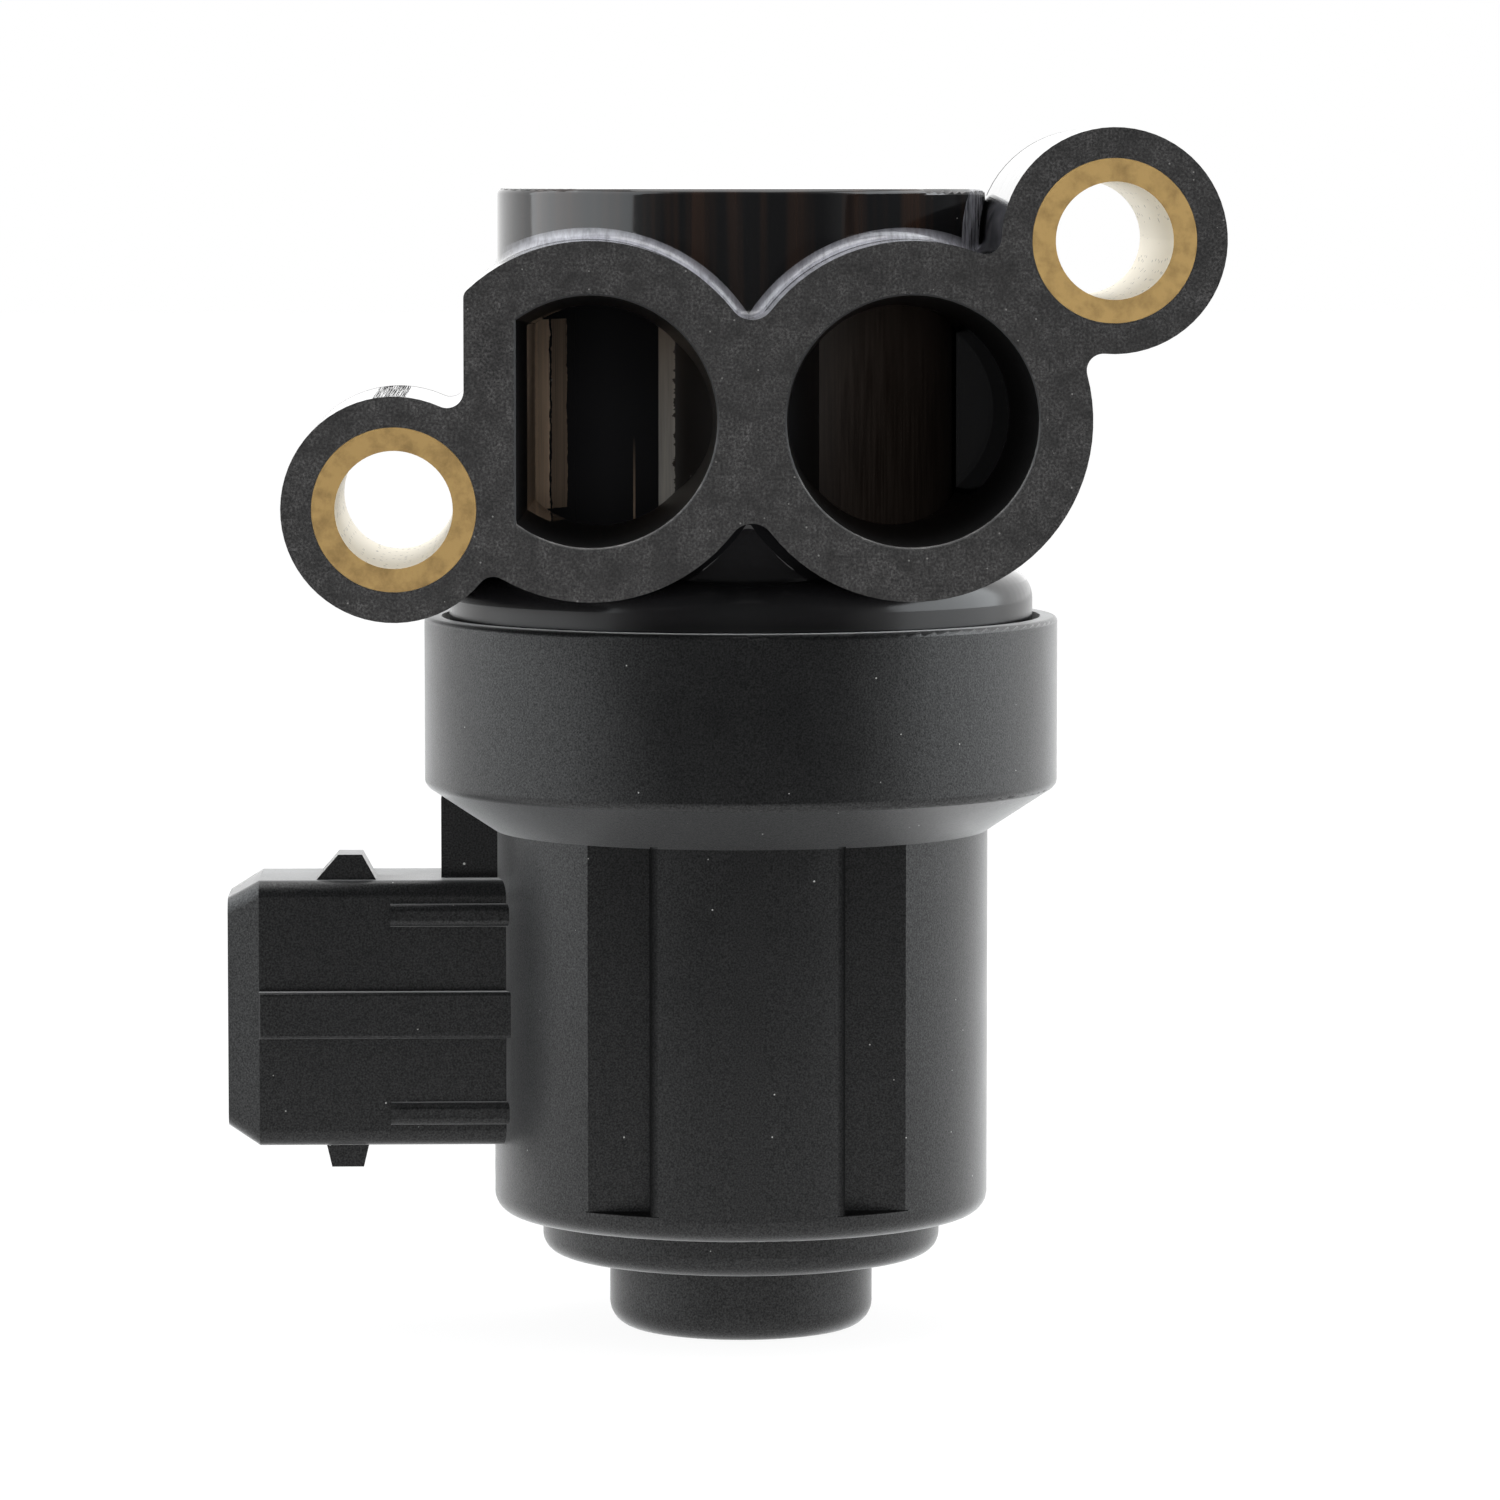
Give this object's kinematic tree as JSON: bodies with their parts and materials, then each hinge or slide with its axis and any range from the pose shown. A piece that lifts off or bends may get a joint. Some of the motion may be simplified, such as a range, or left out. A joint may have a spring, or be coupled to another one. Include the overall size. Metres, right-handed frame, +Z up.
{
  "type": "idle air control valve",
  "caption": "Rotary idle air valve: an eared flange with air ports on a shutter chamber, over a round motor housing with a side connector; a shaft turns the shutter across the ports.",
  "frame": {"origin": "middle of the flange face, halfway between the centres of the two ports", "axes": "-Y is the flange face's outward normal, the way the air duct bolts on; +Z is up along the shaft, from the motor to the shutter; +X is to the right, away from the connector's mouth"},
  "size_m": [0.073, 0.051, 0.0909],
  "materials": {
    "upper_moulding": "glossy black moulding, milled matt on the flange face",
    "lower_moulding": "fine grained matt black moulding",
    "bush_brass": "dull mottled end faces",
    "seal_rubber": "matt black rubber",
    "plate_alloy": "die cast",
    "shutter_alloy": "turned skin",
    "turned_steel": "ground steel",
    "bearing_steel": "polished",
    "cage_brass": "plain brass",
    "magnet_ferrite": "dark sintered",
    "yoke_steel": "rolled steel",
    "bobbin_plastic": "natural moulding",
    "winding_wire": "enamelled wire",
    "terminal_tin": "tinned"
  },
  "bodies": {
    "housing": {"bearing_plate": "plate_alloy", "closing_coil_bobbin": "bobbin_plastic", "closing_coil_winding": "winding_wire", "closing_terminal": "terminal_tin", "front_pole_shoe": "yoke_steel", "housing_seal": "seal_rubber", "left_ear_bush": "bush_brass", "lower_bearing_outer_ring": "bearing_steel", "motor_housing": "lower_moulding", "opening_coil_bobbin": "bobbin_plastic", "opening_coil_winding": "winding_wire", "opening_terminal": "terminal_tin", "preload_washer": "turned_steel", "rear_pole_shoe": "yoke_steel", "right_ear_bush": "bush_brass", "shaft_seal": "seal_rubber", "stop_pin": "turned_steel", "supply_terminal": "terminal_tin", "upper_bearing_outer_ring": "bearing_steel", "valve_housing": "upper_moulding", "yoke_sleeve": "yoke_steel"},
    "rotor": {"shaft": "turned_steel", "rotor_magnet": "magnet_ferrite", "rotary_shutter": "shutter_alloy", "shutter_circlip": "turned_steel", "upper_bearing_inner_ring": "bearing_steel", "lower_bearing_inner_ring": "bearing_steel"},
    "upper_cage": {"upper_bearing_balls": "bearing_steel", "upper_bearing_cage": "cage_brass"},
    "lower_cage": {"lower_bearing_balls": "bearing_steel", "lower_bearing_cage": "cage_brass"}
  },
  "joints": [
    {"name": "shutter_turn", "type": "hinge", "parent": "housing", "child": "rotor", "pos_m": [0, 0.027, 0], "axis": [0, 0, 1], "range_deg": [-60, 4]},
    {"name": "upper_cage_turn", "type": "hinge", "parent": "housing", "child": "upper_cage", "pos_m": [0, 0.027, -0.0187], "axis": [0, 0, 1], "range_deg": [-22, 2]},
    {"name": "lower_cage_turn", "type": "hinge", "parent": "housing", "child": "lower_cage", "pos_m": [0, 0.027, -0.0649], "axis": [0, 0, 1], "range_deg": [-22, 2]}
  ],
  "couplings": [
    {"joint": "upper_cage_turn", "follows": "shutter_turn", "ratio": 0.35263},
    {"joint": "lower_cage_turn", "follows": "shutter_turn", "ratio": 0.35263}
  ]
}
